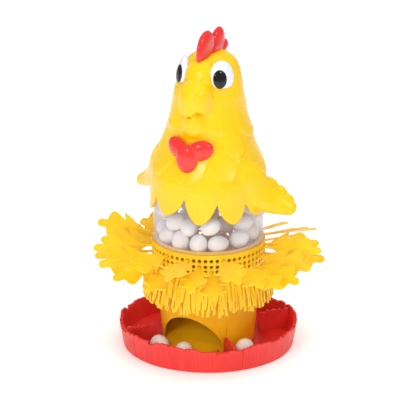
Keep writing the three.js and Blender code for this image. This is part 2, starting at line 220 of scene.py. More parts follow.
def remesh(obj, voxel, rounds):
    """Melts overlapping shells into one skin and relaxes it."""
    melt = obj.modifiers.new("Melt", "REMESH")
    melt.mode = "VOXEL"
    melt.voxel_size = voxel * MM
    melt.adaptivity = 0
    relax = obj.modifiers.new("Relax", "SMOOTH")
    relax.factor = 0.5
    relax.iterations = rounds
    settle(obj)


def points_of(obj):
    """A mesh object's vertices in millimetres."""
    count = len(obj.data.vertices)
    flat = np.zeros(count * 3, np.float32)
    obj.data.vertices.foreach_get("co", flat)
    return flat.reshape(count, 3).astype(float) / MM


def set_points(obj, points):
    obj.data.vertices.foreach_set("co", (points * MM).astype(np.float32).ravel())
    obj.data.update()


def ellipsoid(name, radii, centre, segments=48, rings=24, basis=None):
    """An ellipsoid; the columns of basis are the directions of its three radii."""
    basis = np.eye(3) if basis is None else basis
    rows = []
    for j in range(rings + 1):
        t = math.pi * j / rings
        for i in range(segments):
            a = 2 * math.pi * i / segments
            local = np.array([math.sin(t) * math.cos(a), math.sin(t) * math.sin(a), math.cos(t)])
            rows.append(np.asarray(centre) + basis @ (local * radii))
    return solid(name, rows, grid_faces(rings + 1, segments))


def hermite(values, t):
    """A smooth curve through values at whole numbers."""
    last = len(values) - 1
    i = min(int(t), last - 1)
    u = t - i
    slope = [(values[min(k + 1, last)] - values[max(k - 1, 0)]) / (min(k + 1, last) - max(k - 1, 0))
             for k in (i, i + 1)]
    a, b = values[i], values[i + 1]
    return (a * (2 * u**3 - 3 * u**2 + 1) + slope[0] * (u**3 - 2 * u**2 + u)
            + b * (3 * u**2 - 2 * u**3) + slope[1] * (u**3 - u**2))


def section(centre, forward, side, half, shrink, push, segments):
    """An ellipse across a path; a round end's are shrunk and pushed along it."""
    side = side - forward * (side @ forward)
    side = side / np.linalg.norm(side)
    up = np.cross(forward, side)
    centre = centre + forward * push
    return np.array([centre + side * half[0] * shrink * math.cos(a) + up * half[1] * shrink * math.sin(a)
                     for a in 2 * np.pi * np.arange(segments) / segments])


def sweep(name, path, segments=32, steps=6, ends=6):
    """Ellipse sections along a smooth path with round ends. A path point is (centre, across, half sizes)."""
    table = np.array([[*middle, *across, *sizes] for middle, across, sizes in path], float)
    fine = np.linspace(0, len(path) - 1, (len(path) - 1) * steps + 1)
    smooth = [np.array([hermite(column, t) for t in fine]) for column in table.T]
    centre, side, half = np.stack(smooth[0:3], 1), np.stack(smooth[3:6], 1), np.stack(smooth[6:8], 1)
    along = np.gradient(centre, axis=0)
    along /= np.linalg.norm(along, axis=1)[:, None]
    turns = [math.pi / 2 * k / ends * ROUND_END_SHARE for k in range(1, ends + 1)]
    stops = [(0, t, -1) for t in reversed(turns)] + [(k, 0, 0) for k in range(len(centre))]
    stops += [(-1, t, 1) for t in turns]
    rings = []
    for k, t, way in stops:
        push = way * max(half[k]) * math.sin(t)
        rings.append(section(centre[k], along[k], side[k], half[k], math.cos(t), push, segments))
    return loft(name, rings, sharp=80)


def place(obj, body, slot, material, *nodes):
    """Gives a finished piece its material and its body, and lets it stand for CAD nodes."""
    obj.data.materials.clear()
    obj.data.materials.append(material)
    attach(obj, body)
    if nodes:
        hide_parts(*nodes)


# ---------- materials ----------
def mixed(nodes, links, factor, one, two):
    mix = nodes.new("ShaderNodeMix")
    mix.data_type = "RGBA"
    links.new(factor, mix.inputs["Factor"])
    for socket, value in ((mix.inputs["A"], one), (mix.inputs["B"], two)):
        if hasattr(value, "links"):
            links.new(value, socket)
        else:
            socket.default_value = (*value, 1)
    return mix.outputs["Result"]


def ranged(nodes, links, value, low, high, start=0.3, end=0.7):
    """Values from start to end spread over low to high."""
    span = nodes.new("ShaderNodeMapRange")
    links.new(value, span.inputs["Value"])
    span.inputs["From Min"].default_value = start
    span.inputs["From Max"].default_value = end
    span.inputs["To Min"].default_value = low
    span.inputs["To Max"].default_value = high
    return span.outputs["Result"]


def noisy(nodes, links, where, scale, detail, stretch=(1, 1, 1)):
    """A noise texture in the object's own coordinates."""
    mapping = nodes.new("ShaderNodeMapping")
    mapping.inputs["Scale"].default_value = stretch
    links.new(where, mapping.inputs["Vector"])
    texture = nodes.new("ShaderNodeTexNoise")
    texture.inputs["Scale"].default_value = scale
    texture.inputs["Detail"].default_value = detail
    links.new(mapping.outputs["Vector"], texture.inputs["Vector"])
    return texture.outputs["Fac"]


def bump(nodes, links, shader, height, strength, distance):
    skin = nodes.new("ShaderNodeBump")
    skin.inputs["Strength"].default_value = strength
    skin.inputs["Distance"].default_value = distance
    links.new(height, skin.inputs["Height"])
    links.new(skin.outputs["Normal"], shader.inputs["Normal"])


def new_material(name):
    """A material with its nodes, its links, its shader and the object's own coordinates."""
    material = bpy.data.materials.new(name)
    material.use_nodes = True
    nodes = material.node_tree.nodes
    where = nodes.new("ShaderNodeTexCoord").outputs["Object"]
    return material, nodes, material.node_tree.links, nodes["Principled BSDF"], where


def plastic(name, colour, shade_colour, roughness, grain=700, relief=0.05, coat=0.0, stretch=(1, 1, 1)):
    """Moulded plastic: uneven colour, a fine skin, hazy patches in the gloss and rubbed edges."""
    material, nodes, links, shader, where = new_material(name)
    patches = noisy(nodes, links, where, 28, 4, stretch)
    colour_socket = mixed(nodes, links, ranged(nodes, links, patches, 0, 1), shade_colour, colour)
    edges = nodes.new("ShaderNodeNewGeometry").outputs["Pointiness"]
    rubbed = ranged(nodes, links, edges, 0, 0.5, 0.53, 0.62)
    pale = tuple(min(1, c * 1.15 + 0.03) for c in colour)
    colour_socket = mixed(nodes, links, rubbed, colour_socket, pale)
    links.new(colour_socket, shader.inputs["Base Color"])
    haze = noisy(nodes, links, where, 90, 5)
    links.new(ranged(nodes, links, haze, roughness * 0.8, roughness * 1.3), shader.inputs["Roughness"])
    bump(nodes, links, shader, noisy(nodes, links, where, grain, 3, stretch), relief, 0.0006)
    shader.inputs["Coat Weight"].default_value = coat
    shader.inputs["Coat Roughness"].default_value = 0.08
    return material


def clear_plastic(name, tint):
    """Thin clear styrene: nearly see-through face on, glossy and greyer where it turns away."""
    material, nodes, links, shader, where = new_material(name)
    shader.inputs["Base Color"].default_value = (*tint, 1)
    facing = nodes.new("ShaderNodeLayerWeight")
    facing.inputs["Blend"].default_value = 0.35
    links.new(ranged(nodes, links, facing.outputs["Facing"], 0.05, 0.6, 0.0, 1.0), shader.inputs["Alpha"])
    smears = noisy(nodes, links, where, 120, 5, (1, 1, 0.3))
    links.new(ranged(nodes, links, smears, 0.04, 0.16), shader.inputs["Roughness"])
    bump(nodes, links, shader, noisy(nodes, links, where, 60, 2), 0.04, 0.0005)
    return material


RED = plastic("tray_red", (0.80, 0.030, 0.022), (0.70, 0.018, 0.016), 0.42, stretch=(1, 1, 0.25), relief=0.1)
ORANGE = plastic("chute_orange", (0.95, 0.48, 0.004), (0.92, 0.43, 0.002), 0.38, relief=0.08)
# Painted light: the ramp is the same plastic as the chute, and this lighter copy of the chute's orange stands
# in for light falling through the arch onto it.
RAMP_PAINTED_LIGHT = plastic("ramp_orange_painted_light", (1.0, 0.56, 0.004), (0.98, 0.52, 0.003), 0.38, relief=0.08)
STRAW = plastic("straw_yellow", (0.96, 0.60, 0.006), (0.90, 0.48, 0.003), 0.45, relief=0.12,
                stretch=(1, 1, 0.3))
FEATHER = plastic("feather_yellow", (0.97, 0.62, 0.008), (0.93, 0.54, 0.004), 0.38, relief=0.08)
HEN = plastic("hen_yellow", (0.95, 0.61, 0.0), (0.93, 0.57, 0.0), 0.27, relief=0.03, coat=0.06)
COMB = plastic("comb_red", (0.84, 0.032, 0.025), (0.78, 0.022, 0.02), 0.22, relief=0.04, coat=0.3)
EGG = plastic("egg_white", (0.98, 0.97, 0.96), (0.96, 0.94, 0.92), 0.35, relief=0.06)
EYE = plastic("eye_white", (0.84, 0.85, 0.90), (0.78, 0.80, 0.87), 0.15, relief=0.02, coat=0.4)
PUPIL = plastic("pupil_black", (0.003, 0.003, 0.004), (0.005, 0.005, 0.006), 0.08, relief=0.02)
CLEAR = clear_plastic("clear_drum", (0.72, 0.70, 0.84))
STEEL = plastic("steel", (0.62, 0.62, 0.63), (0.5, 0.5, 0.52), 0.3, grain=900, relief=0.08)
STEEL.node_tree.nodes["Principled BSDF"].inputs["Metallic"].default_value = 1


# ---------- tray ----------
PLANK_TOP = 28.4
PLANK_MIDDLE = 17.5
PLANK_PITCH = 360 / PLANKS
LINER_TOP = 26  # the ring inside the fence that closes the gaps between the planks


def plank(number, chance):
    """One fence board with a broken top, from its own random draws."""
    inner = TRAY_R - TRAY_WALL
    proud = chance.choice([0, 0, -0.1, -0.35])
    level = PLANK_TOP + chance.uniform(-2.6, 2.0)
    fractions = [0.0]
    heights = [level]
    for step in range(chance.choice([1, 2, 3, 3])):
        where = (step + chance.uniform(0.25, 0.8)) / 3
        change = chance.uniform(-2.6, 2.0)
        fractions += [where, where + 0.02]
        heights += [heights[-1] + chance.uniform(-0.4, 0.4), level + change]
        if chance.random() < 0.3:
            crack = chance.uniform(3, 8)
            fractions += [where + 0.03, where + 0.045, where + 0.06]
            heights += [level + change, level + change - crack, level + change]
    fractions.append(1.0)
    heights.append(heights[-1] + chance.uniform(-0.3, 0.3))
    order = np.argsort(fractions)
    fractions, heights = np.array(fractions)[order], np.array(heights)[order]
    fine = sorted(set(list(fractions) + [0.17, 0.34, 0.5, 0.67, 0.84]))
    tops = np.interp(fine, fractions, heights)
    seam = chance.choice([-0.06, -0.06, 0.13])
    n = len(fine)
    vertices = []
    for levels in (np.zeros(n), np.full(n, PLANK_MIDDLE), tops):
        for f, z in zip(fine, levels):
            heading = (number + seam / PLANK_PITCH + f * (1 - 2 * seam / PLANK_PITCH)) * PLANK_PITCH
            bow = 0.15 * math.sin(math.pi * f)
            vertices.append(polar(inner + FENCE_LEAN * z, heading, z))
            vertices.append(polar(TRAY_R + FENCE_LEAN * z + proud + bow, heading, z))

    def at(row, i, side):
        return (row * n + i) * 2 + side

    faces = []
    for row in range(2):
        for i in range(n - 1):
            faces.append((at(row, i, 1), at(row, i + 1, 1), at(row + 1, i + 1, 1), at(row + 1, i, 1)))
            faces.append((at(row, i + 1, 0), at(row, i, 0), at(row + 1, i, 0), at(row + 1, i + 1, 0)))
        for i in (0, n - 1):
            faces.append((at(row, i, 0), at(row, i, 1), at(row + 1, i, 1), at(row + 1, i, 0)))
    for i in range(n - 1):
        faces.append((at(2, i, 0), at(2, i, 1), at(2, i + 1, 1), at(2, i + 1, 0)))
        faces.append((at(0, i + 1, 0), at(0, i + 1, 1), at(0, i, 1), at(0, i, 0)))
    return solid(f"plank_{number}", vertices, faces, bevel=0.35, segments=1)


def divider(number, chance):
    """A wall across the tray with a stepped top, like the fence."""
    heading = 45 + 90 * number
    length = TRAY_R - 0.5 - DIVIDER_R
    half = 2.0
    stations = np.linspace(0, 1, 13)
    top = 27.6 + np.array([chance.choice([-0.9, 0, 0.8, 1.2]) for _ in stations])
    top[0] -= 1.5
    foot = TRAY_FLOOR - 1.0
    outline = [(0.0, foot)]
    for k, f in enumerate(stations[:-1]):
        outline += [(f + 0.004, top[k]), (stations[k + 1] - 0.004, top[k] + 0.2)]
    outline.append((1.0, foot))
    turn = Matrix.Rotation(math.radians(heading - 90), 3, "Z")
    points = []
    for side in (-half, half):
        for f, z in outline:
            points.append(turn @ Vector((DIVIDER_R + f * length, side, z)))
    n = len(outline)
    faces = [cap(0, n, True), cap(n, n)]
    faces += [(i, (i + 1) % n, n + (i + 1) % n, n + i) for i in range(n)]
    return solid(f"divider_{number}", points, faces, bevel=0.4, segments=1)


def make_tray():
    """The floor with its foot rings and boss, the fence, and the four walls across."""
    chance = random.Random(11)
    inner = TRAY_R - TRAY_WALL
    low = TRAY_FLOOR - TRAY_SKIN
    floor = turned("floor", [
        (0, low), (24, low), (24, 0), (24.01, 0), (26, 0), (26, low), (inner - 4, low), (inner - 4, 0),
        (TRAY_R - 0.6, 0), (TRAY_R - 0.4, TRAY_FLOOR), (BOSS_R + 1, TRAY_FLOOR), (BOSS_R, TRAY_FLOOR + 1),
        (BOSS_R, BOSS_TOP - 0.4), (BOSS_R - 0.4, BOSS_TOP), (1.9, BOSS_TOP), (1.9, TRAY_SKIN + 1),
        (0, TRAY_SKIN + 1),
    ], segments=144)
    liner_in, liner_out, spread = inner - 0.8, TRAY_R - 1.2, FENCE_LEAN * LINER_TOP
    liner = turned("liner", [
        (liner_in, TRAY_FLOOR - 1), (liner_out, TRAY_FLOOR - 1), (liner_out + spread, LINER_TOP),
        (liner_in + spread, LINER_TOP),
    ], segments=144)
    pieces = [floor, liner]
    pieces += [plank(i, chance) for i in range(PLANKS)]
    pieces += [divider(k, chance) for k in range(4)]
    tray = join("tray", pieces)
    shade(tray, 35)
    place(tray, "tray", "tray_red", RED, "tray")


def make_pivot():
    """The cross-head screw and the washer that hold the tower down."""
    base = BOSS_TOP + GAP
    washer = turned("pivot_washer", [(2.4, base), (12, base), (12, base + 1.5), (2.4, base + 1.5)], 64,
                    bevel=0.25)
    under = base + 1.8
    screw = turned("pivot_screw", [
        (0, TRAY_SKIN + 1.2), (1.1, TRAY_SKIN + 1.2), (1.6, TRAY_SKIN + 2), (1.6, under), (4.4, under),
        (4.4, under + 1.0), (3.6, under + 2.0), (2.0, under + 2.6), (0, under + 2.8),
    ], 48)
    for turn in (0, 90):
        carve(screw, ellipsoid("slot", (2.4, 0.45, 1.6), (0, 0, under + 2.8), 24, 12, axes(turn)))
    shade(screw, 35)
    place(washer, "tray", "steel", STEEL, "pivot_washer")
    place(screw, "tray", "steel", STEEL, "pivot_screw")


# ---------- tower ----------
def chute_radius(z):
    return CHUTE_R_LOW + (CHUTE_R_HIGH - CHUTE_R_LOW) * (z - CHUTE_BOTTOM) / (CHUTE_TOP - CHUTE_BOTTOM)


def groove_depth(headings):
    """How far the plank joints sink into the column, with boards that sit unevenly proud."""
    depth = np.zeros(len(headings))
    for k, middle in enumerate(GROOVES):
        away = away_from(headings, middle)
        depth += 1.0 * np.exp(-(away / 0.5) ** 2)
        depth += np.where((away > 0) & (away < GROOVE_PITCH), 0.25 * (k % 2), 0)
    return depth


def make_chute():
    """A hollow column on a floor bored for the boss, with an arch through its front."""
    headings = np.arange(0, 360, 0.5)
    levels = np.linspace(CHUTE_BOTTOM, CHUTE_TOP, 24)
    depth = groove_depth(headings)
    rows = []
    for z in levels:
        rows.append([polar(chute_radius(z) - d, h, z) for h, d in zip(headings, depth)])
    for r, z in ((CHUTE_R_HIGH - CHUTE_WALL, CHUTE_TOP), (CHUTE_R_LOW - CHUTE_WALL + 0.3, HUB_TOP),
                 (BOSS_R + 0.6, HUB_TOP), (BOSS_R + 0.6, CHUTE_BOTTOM)):
        rows.append([polar(r, h, z) for h in headings])
    rows.append(rows[0])
    chute = solid("chute", np.concatenate(rows), grid_faces(len(rows), len(headings)))
    outline = [(ARCH_HALF_WIDTH, HUB_TOP)]
    for i in range(65):
        angle = math.pi * i / 64
        x, z = ARCH_HALF_WIDTH * math.cos(angle), ARCH_FOOT + (ARCH_TOP - ARCH_FOOT) * math.sin(angle)
        if z > HUB_TOP + 0.01:
            outline.append((x, z))
    outline.append((-ARCH_HALF_WIDTH, HUB_TOP))
    rings = [[(x, y, z) for x, z in outline] for y in (-90, -22)]
    carve(chute, loft("arch", rings))
    round_edges(chute, 0.45, 2, 40)
    shade(chute, 35)
    place(chute, "tower", "chute_orange", ORANGE, "chute")


def make_ramp():
    """A slide that crowns across and falls to the arch, round behind and wide at the tongue."""
    lip, reach, behind, thick = -59, 60.5, 50.8, 2.4
    half_tongue, fall, crown = 41, 0.3, 170
    headings = np.arange(0, 360, 2.5)
    shares = np.linspace(0.0, 1, 30)
    rings = []
    for upper, ordered in ((True, shares), (False, shares[::-1])):
        for share in ordered:
            ring = []
            for h in headings:
                front = smooth_step((half_tongue - abs(away_from(h, 0))) / 5)
                limit = behind + (reach - 0.4 - behind) * front
                flat = polar(limit * share, h, 0)
                top = HUB_TOP + 2 + (flat[1] - lip) * fall - flat[0] ** 2 / crown
                edge = smooth_step((1 - share) / 0.03)
                top -= thick / 2 * (1 - math.sqrt(edge))
                under = top - thick * math.sqrt(edge)
                flat[2] = max(top if upper else under, HUB_TOP + 0.35 + (0.02 if upper else 0))
                ring.append(flat)
            rings.append(ring)
    ramp = solid("egg_ramp", np.concatenate(rings + [rings[0]]), grid_faces(len(rings) + 1, len(headings)))
    shade(ramp, 50)
    # Painted light: the ramp takes the lighter copy of the chute's orange.
    place(ramp, "tower", "chute_orange", RAMP_PAINTED_LIGHT, "egg_ramp")


def make_collar():
    """The perforated band that the stems pass through, with three rows of holes."""
    inner = COLLAR_R - COLLAR_WALL
    bottom = CHUTE_TOP + GAP
    lip = DRUM_R - DRUM_WALL - GAP
    collar = turned("collar", [
        (lip - 4, bottom), (COLLAR_R - 0.3, bottom), (COLLAR_R, bottom + 0.3), (COLLAR_R, COLLAR_TOP - 0.3),
        (COLLAR_R - 0.3, COLLAR_TOP), (lip, COLLAR_TOP), (lip, COLLAR_TOP + 3), (lip - 2, COLLAR_TOP + 3),
        (inner, COLLAR_TOP - 1), (inner, bottom + 3), (lip - 4, bottom + 1),
    ], 192)
    drills = []
    for height, droop in zip(STEM_ROWS, STEM_DROOP):
        for k in range(2 * FEATHERS):
            out = polar(1, k * 180 / FEATHERS, 0)
            side = np.array([-out[1], out[0], 0])
            slope = math.radians(droop)
            along = out * math.cos(slope) - np.array([0, 0, math.sin(slope)])
            middle = out * (COLLAR_R - 2) + np.array([0, 0, height + 2 * math.tan(slope)])
            up = np.cross(side, along)
            rings = []
            for reach in (-6, 6):
                rings.append([middle + along * reach + 2.3 * (side * math.cos(a) + up * math.sin(a))
                              for a in np.arange(12) * math.pi / 6])
            drills.append(loft("drill", rings))
    carve(collar, join("drills", drills))
    shade(collar, 35)
    place(collar, "tower", "straw_yellow", STRAW, "collar")


def straw(chance, heading, top, top_r, bottom, bottom_r, width):
    """A hanging plastic straw: a thin bar that bows, twists a little and narrows at its cut end."""
    thick = chance.uniform(1.0, 1.6)
    twist = math.radians(chance.uniform(-16, 16))
    sway = chance.uniform(-1.6, 1.6)
    bow = chance.uniform(-0.2, 1.2)
    rings = []
    for f in np.linspace(0, 1, 5):
        radius = top_r + (bottom_r - top_r) * f + bow * math.sin(math.pi * f)
        middle = polar(radius, heading + sway * f * f, top + (bottom - top) * f)
        out = polar(1, heading, 0)
        side = np.array([-out[1], out[0], 0])
        turn = twist * f
        wide = side * math.cos(turn) + out * math.sin(turn)
        deep = out * math.cos(turn) - side * math.sin(turn)
        w, d = width / 2 * (1 - 0.25 * f), thick / 2
        slant = np.array([0, 0, chance.uniform(-0.5, 0.5) if f == 1 else 0])
        rings.append([middle + wide * w + deep * d + slant, middle - wide * w + deep * d - slant,
                      middle - wide * w - deep * d - slant, middle + wide * w - deep * d + slant])
    return loft("straw", rings, bevel=0.25, segments=1)


def make_skirt():
    """A flared shell under four layers of hanging straws of uneven length."""
    chance = random.Random(29)
    inner = CHUTE_R_HIGH + 0.5
    shell = turned("shell", [
        (inner, 82), (71.5, 75), (73.5, 75), (73.8, 77), (71, 91), (67.5, 103.8), (67, CHUTE_TOP - 0.5),
        (inner, CHUTE_TOP - 0.5),
    ], 96)
    pieces = [shell]
    layers = [
        (66, 90.0, 70.4, 58.5, 74.0, 4.4), (72, 92.0, 71.2, 60.5, 75.8, 3.8),
        (72, 97.0, 70.2, 66.0, 77.0, 3.4), (60, 103.0, 68.6, 76.0, 76.2, 3.0),
    ]
    for number, (count, top, top_r, bottom, bottom_r, width) in enumerate(layers):
        for i in range(count):
            heading = (i + 0.5 * (number % 2)) * 360 / count + chance.uniform(-0.8, 0.8)
            ragged = chance.uniform(-1.0, 3.5) + (chance.uniform(2, 7) if chance.random() < 0.15 else 0)
            out = chance.uniform(-0.5, 1.0)
            pieces.append(straw(chance, heading, top, top_r, bottom + ragged, bottom_r + out,
                                width * chance.uniform(0.8, 1.15)))
    skirt = join("straw_skirt", pieces)
    shade(skirt, 40)
    place(skirt, "tower", "straw_yellow", STRAW, "straw_skirt")


def make_drum():
    """A clear tub wall with a rolled foot and a stepped rim under the cover."""
    inner = DRUM_R - DRUM_WALL
    low = COLLAR_TOP + GAP
    drum = turned("egg_drum", [
        (inner, low), (DRUM_R - 0.4, low), (DRUM_R, low + 0.5), (DRUM_R, low + 3), (DRUM_R - 0.5, low + 3.6),
        (DRUM_R - 0.5, DRUM_TOP - 3), (DRUM_R, DRUM_TOP - 2.5), (DRUM_R, DRUM_TOP - 0.4),
        (DRUM_R - 0.4, DRUM_TOP), (inner, DRUM_TOP), (inner, DRUM_TOP - 20),
    ], 192)
    shade(drum, 30)
    place(drum, "tower", "clear_drum", CLEAR, "egg_drum")


# ---------- eggs ----------
def principal(node):
    """A node's middle and its main directions, longest first."""
    points = points_of(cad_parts[node])
    middle = points.mean(0)
    directions = np.linalg.svd(points - middle, full_matrices=False)[2]
    return points, middle, directions


def egg(name, centre, axis, chance):
    """An egg with its blunt end along axis."""
    axis = np.asarray(axis, float)
    axis = axis / np.linalg.norm(axis)
    side = np.cross(axis, [0.3, 0.5, 0.81])
    side = side / np.linalg.norm(side)
    up = np.cross(axis, side)
    rings = []
    for t in np.linspace(0.01, math.pi - 0.01, 28):
        radius = math.sin(t) * (1 + 0.1 * math.cos(t)) * EGG_WIDTH / 2
        radius *= 1 + 0.004 * math.sin(3 * t + chance.uniform(0, 1))
        along = math.cos(t) * EGG_LENGTH / 2
        rings.append([centre + axis * along + radius * (side * math.cos(a) + up * math.sin(a))
                      for a in np.arange(36) * math.pi / 18])
    return loft(name, rings, sharp=80)


def egg_for(node, body, chance):
    """An egg in place of a CAD one, with its blunt end at the thicker end."""
    points, middle, directions = principal(node)
    axis = directions[0]
    along = (points - middle) @ axis
    centre = middle + axis * (along.max() + along.min()) / 2
    along = (points - centre) @ axis
    away = np.linalg.norm(points - centre - np.outer(along, axis), axis=1)
    high = away[along > 2].mean()
    low = away[along < -2].mean()
    piece = egg(f"{node}_shell", centre, axis if high > low else -axis, chance)
    place(piece, body, "egg_white", EGG, node)


def make_eggs():
    """The frame's eggs, in the drum and fallen, and a second layer in the drum."""
    chance = random.Random(5)
    for i in range(12):
        egg_for(f"drum_egg_{i + 1:02d}", "egg_load", chance)
    for side in ("left", "middle", "right"):
        egg_for(f"tray_egg_{side}", f"fallen_egg_{side}", chance)
    # Each egg of the second layer, as radius, heading, height, lean and the direction it leans in.
    second = [
        (49, -24, 160, 80, 70), (43, -4, 155, 80, 110), (50, 29.5, 161, 50, 20), (45, 88, 156, 60, 30),
        (48, 152, 159, 75, 60), (48, 192, 158, 50, 100), (47, 236, 158, 80, 10), (49, 280, 159, 75, 60),
        (26, 150, 141, 60, 40), (26, 250, 141, 70, 80),
    ]
    for number, (radius, heading, z, lean, towards) in enumerate(second):
        a, b = math.radians(lean), math.radians(towards)
        axis = (math.sin(a) * math.cos(b), math.sin(a) * math.sin(b), math.cos(a))
        piece = egg(f"second_layer_egg_{number + 1:02d}", polar(radius, heading, z), axis, chance)
        place(piece, "egg_load", "egg_white", EGG)


# ---------- feathers ----------
BLADE_LENGTH = 62
# Half the blade's width at stations along the rib; the barbs sweep outwards by SWEEP times the width.
BLADE = [
    (0, 1.9), (4, 2.4), (8.5, 7.6), (13, 12.0), (18.5, 15.6), (20.6, 16.2), (21.4, 15.2), (21.7, 9.0),
    (22, 7.2), (25.5, 10.6), (30, 14.6), (33, 15.8), (36, 15.4), (40, 13.2), (43.5, 9.4), (45.5, 6.4),
    (47.5, 5.0), (52, 4.7), (56, 4.8), (59, 4.1), (61, 2.6), (62, 0.5),
]
SWEEP = 0.5
BARB_PITCH = 2.6
# Columns of points from the rib to the edge, in half widths.
HALF_SHARES = [0.1, 0.16, 0.35, 0.6, 0.84, 0.88, 0.97, 1]


def feather(node, body, chance):
    """A feather stick: a round stem and a flat lobed blade with a raised rim, a rib and barbs."""
    points, middle, directions = principal(node)
    along = directions[0]
    if (middle * [1, 1, 0]) @ along < 0:
        along = -along
    across = directions[1] - along * (directions[1] @ along)
    across /= np.linalg.norm(across)
    normal = np.cross(along, across)
    if normal[2] < 0:
        normal, across = -normal, -across
    reach = (points - middle) @ along
    tip, inner_end = reach.max(), reach.min()
    root = tip - BLADE_LENGTH
    stations = np.unique(np.concatenate([np.linspace(0, BLADE_LENGTH, 48), [t for t, _ in BLADE]]))
    widths = read_table(BLADE, stations)
    scale_left, scale_right = chance.uniform(0.86, 1.08), chance.uniform(0.86, 1.08)
    shift = chance.uniform(-2, 2)
    right_widths = read_table(BLADE, stations - shift * np.sin(np.pi * stations / BLADE_LENGTH))
    shares = np.array([-s for s in reversed(HALF_SHARES)] + [0] + HALF_SHARES)
    bend, curl = chance.uniform(-3.0, 3.5), chance.uniform(-0.8, 2.2)
    top, under = [], []
    for t, w_left, w_right in zip(stations, widths * scale_left, right_widths * scale_right):
        for s in shares:
            w = w_left if s < 0 else w_right
            y = s * w
            pull = SWEEP * abs(y) * smooth_step(min(t / 10, (BLADE_LENGTH - t) / 14))
            x = min(t + pull, BLADE_LENGTH)
            lift = bend * (t / BLADE_LENGTH) ** 2 + curl * (s * s) * w / 13
            rim = 0.35 if abs(s) > 0.86 and w > 3.2 else 0
            rib = 0.55 * max(0.0, 1 - (abs(y) / 1.3) ** 2)
            barbs = 0.1 * math.sin(2 * math.pi * (t - 0.6 * abs(y)) / BARB_PITCH) if 0.2 < abs(s) < 0.8 else 0
            half = 0.6 if 0.95 > abs(s) else 0.35
            centre = middle + along * (root + x) + across * y + normal * lift
            top.append(centre + normal * (half + rim + rib + barbs))
            under.append(centre - normal * (half + rim * 0.6 + rib + barbs * 0.5))
    rows, columns = len(stations), len(shares)
    base = rows * columns
    faces = grid_faces(rows, columns, 0, wrap=False)
    faces += [f[::-1] for f in grid_faces(rows, columns, base, wrap=False)]
    rim = [(j * columns + i, (j + 1) * columns + i) for j in range(rows - 1) for i in (0, columns - 1)]
    rim += [(j * columns + i, j * columns + i + 1) for i in range(columns - 1) for j in (0, rows - 1)]
    faces += [(a, b, base + b, base + a) for a, b in rim]
    blade = solid(f"{node}_blade", top + under, faces)
    path = []
    stem_sizes = [(inner_end, STEM_R), (inner_end + 20, STEM_R), (root, STEM_R), (root + 18, 1.3),
                  (root + 40, 0.8)]
    for x, r in stem_sizes:
        lift = bend * (max(0, x - root) / BLADE_LENGTH) ** 2
        path.append((middle + along * x + normal * lift, across, (r, r)))
    stem = sweep(f"{node}_stem", path, segments=12, steps=4, ends=3)
    whole = join(f"{node}_stick", [blade, stem])
    shade(whole, 40)
    place(whole, body, "feather_yellow", FEATHER, node)


def make_feathers():
    chance = random.Random(17)
    for i in range(FEATHERS):
        number = f"{i + 1:02d}"
        feather(f"feather_{number}", f"stick_{number}", chance)


# ---------- hen ----------
# The cover's outside, as height and radius.
PROFILE = [
    (160, 67.4), (190, 67.6), (205, 67.6), (214, 66.4), (221, 64.2), (231, 60.2), (240, 56.6), (250, 53.2),
    (260, 50.4), (270, 47.6), (279, 45.6), (289, 43.4), (299, 41.6), (308, 40.2), (318, 38.4), (327, 36.4),
    (335, 34.2), (343, 30.4), (349.5, 24.4), (354.5, 16.5), (357.5, 8.0), (358.2, 0.0),
]
HEAD_BACK = 7  # how far the crown sits behind the neck
CROWN_START, CROWN_TOP = 330.2, 354.2
CROWN_FLAT = 353  # rings above this are drawn in, which rounds the top
UNDERSIDE_Z = 196
TIGHTER, POINT_R = 0.6, 0.02  # how far those and the lowest ring are drawn in; the top's radius
# Feather tips, as heading, lowest height, reach to each side in degrees, and height of the notches.
HEM = [
    (-20.5, 173.5, 16, 23, 200), (17.5, 168, 14.5, 18.5, 198), (53.3, 167, 17, 13, 191),
    (84, 170, 18, 19, 194), (121, 168, 18, 19, 197), (158, 170, 18, 18, 197), (194, 168, 18, 18, 197),
    (231, 171, 19, 18, 196), (266, 170, 18, 18, 195), (302, 168.5, 18, 21.5, 193),
]
MIDDLE = [
    (5.5, 214.5, 22, 20, 238), (47.4, 218.5, 21, 16, 242), (104, 214, 26, 22, 240), (148, 217, 22, 22, 240),
    (190, 214, 20, 22, 240), (234, 217, 22, 22, 240), (277, 216, 21, 20, 240), (319, 218, 22, 22, 242),
]
RUFF = [
    (62, 244, 13, 13, 253), (99, 261, 18, 18, 272), (138, 256, 20, 20, 270), (180, 261, 21, 21, 272),
    (222, 256, 20, 20, 270), (261, 261, 18, 18, 272), (296, 236, 15, 14, 250),
]
NAPE = [(125, 292, 22, 20, 306), (165, 288, 20, 20, 304), (205, 290, 20, 20, 304), (243, 293, 20, 20, 306)]


def lower_edge(headings, tips):
    """The height of a feather row's lower edge at each heading, and how far across its feather that is."""
    edge = np.full(headings.shape, float(max(notch for *_, notch in tips)))
    across = np.ones(headings.shape)
    for middle, low, left, right, notch in tips:
        away = away_from(headings, middle)
        share = np.abs(away) / np.where(away < 0, left, right)
        s = np.clip(share, 0, 1)
        rise = 0.55 * (1 - np.sqrt(1 - s * s)) + 0.45 * s**1.7
        height = low + (notch - low) * rise
        better = (share <= 1) & (height < edge)
        edge = np.where(better, height, edge)
        across = np.where(better, s, across)
    return edge, across


def row_relief(headings, heights, tips, thick, fade):
    """A row of overlapping feathers: a soft step at its lower edge that dies away upwards."""
    edge, across = lower_edge(headings, tips)
    above = heights - edge
    step = smooth_step(above / 1.3 + 0.5)
    fading = np.exp(-np.clip(above, 0, None) / fade)
    return thick * step * fading + 0.9 * (1 - across**2) * step * fading


